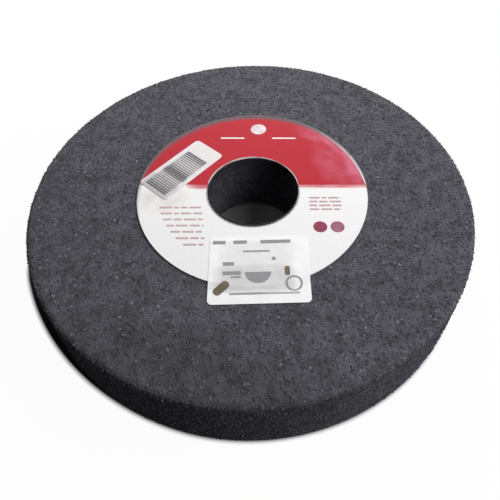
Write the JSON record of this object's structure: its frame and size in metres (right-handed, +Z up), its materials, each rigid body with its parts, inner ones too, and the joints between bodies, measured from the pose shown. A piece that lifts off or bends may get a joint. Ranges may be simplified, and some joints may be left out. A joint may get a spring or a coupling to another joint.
{
  "type": "bench grinding wheel",
  "caption": "Straight-sided round abrasive wheel with a plain bore, for a bench grinder, with a paper washer on each face and two paper stickers.",
  "frame": {"origin": "middle of the bore, at the height of the surface that the wheel lies on with its plain back blotter", "axes": "+Z up, along the bore and out of the printed face; +X to the right and +Y to the far side along and across the print's straight edge, as the printed face is read"},
  "size_m": [0.1524, 0.1524, 0.0266],
  "materials": {
    "bonded_grain": "matte",
    "blotter_paper": "matte",
    "back_blotter_paper": "matte",
    "red_ink": "satin",
    "grey_pink_ink": "matte",
    "crimson_ink": "satin",
    "code_sticker_paper": "satin",
    "dark_grey_ink": "matte",
    "lower_sticker_paper": "satin",
    "mid_grey_ink": "matte",
    "brown_ink": "matte"
  },
  "bodies": {
    "root": {"abrasive_wheel": "bonded_grain", "front_blotter": "blotter_paper", "back_blotter": "back_blotter_paper", "red_print": "red_ink", "blotter_lines": "grey_pink_ink", "crimson_dots": "crimson_ink", "code_sticker": "code_sticker_paper", "code_bars": "dark_grey_ink", "lower_sticker": "lower_sticker_paper", "sticker_marks": "mid_grey_ink", "sticker_smears": "brown_ink"}
  },
  "joints": []
}
